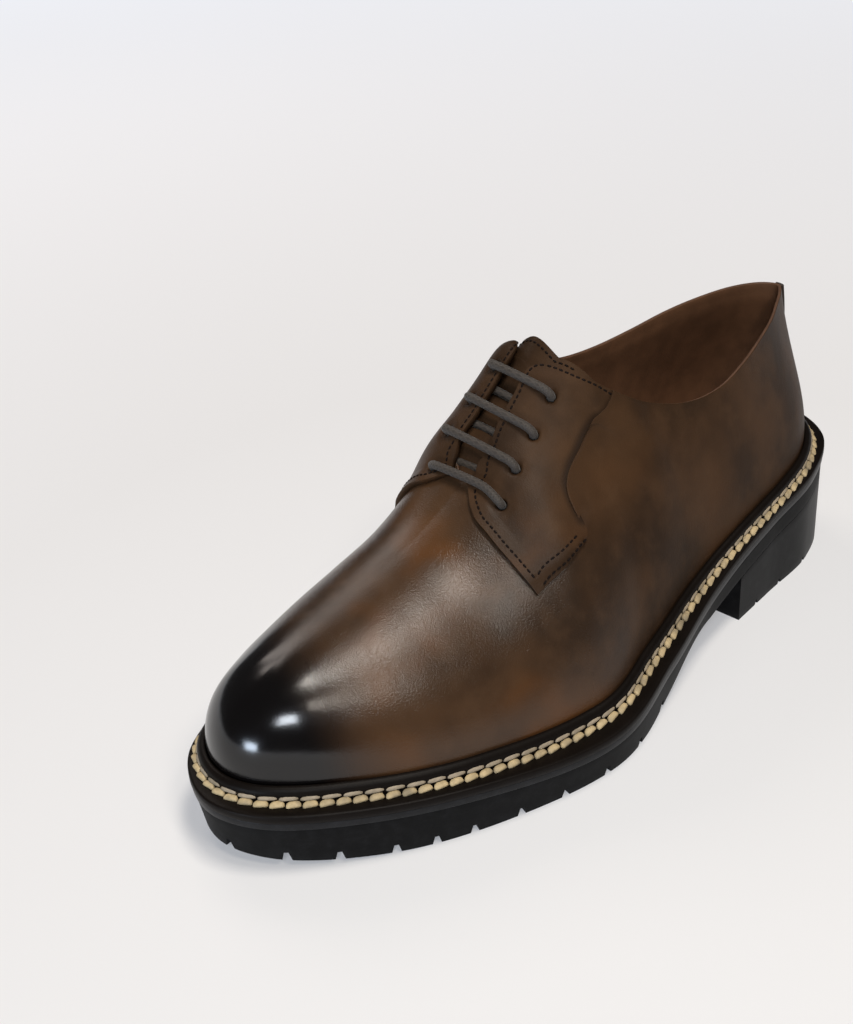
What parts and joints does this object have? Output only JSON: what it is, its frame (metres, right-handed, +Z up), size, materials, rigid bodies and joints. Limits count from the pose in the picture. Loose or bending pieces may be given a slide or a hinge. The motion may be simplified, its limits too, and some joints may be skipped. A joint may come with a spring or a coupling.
{
  "type": "derby shoe",
  "caption": "Plain-toe derby shoe with open lacing, a storm welt all round, a lugged rubber sole and a stacked heel.",
  "frame": {"origin": "on the ground, under the middle of the shoe's box", "axes": "+Z up, toe towards -Y, heel towards +Y, outer (little-toe) side towards +X"},
  "size_m": [0.118, 0.3058, 0.1223],
  "materials": {
    "outsole": "matt black lugged rubber",
    "heel": "semi-gloss black stacked heel",
    "midsole": "semi-gloss black edge",
    "storm_welt": "dark brown waxed leather",
    "insole": "plain tan leather",
    "upper": "polished brown patina calf, burnished dark at the toe",
    "facing": "polished brown patina calf",
    "tongue": "polished brown calf",
    "back_strip": "dark brown leather",
    "lace": "waxed taupe cord"
  },
  "bodies": {
    "root": {"outsole": "outsole", "heel": "heel", "midsole": "midsole", "storm_welt": "storm_welt", "insole": "insole", "upper": "upper", "facing_outer": "facing", "facing_inner": "facing", "tongue": "tongue", "back_strip": "back_strip", "lace_bar_1": "lace", "lace_bar_2": "lace", "lace_bar_3": "lace", "lace_bar_4": "lace"}
  },
  "joints": []
}
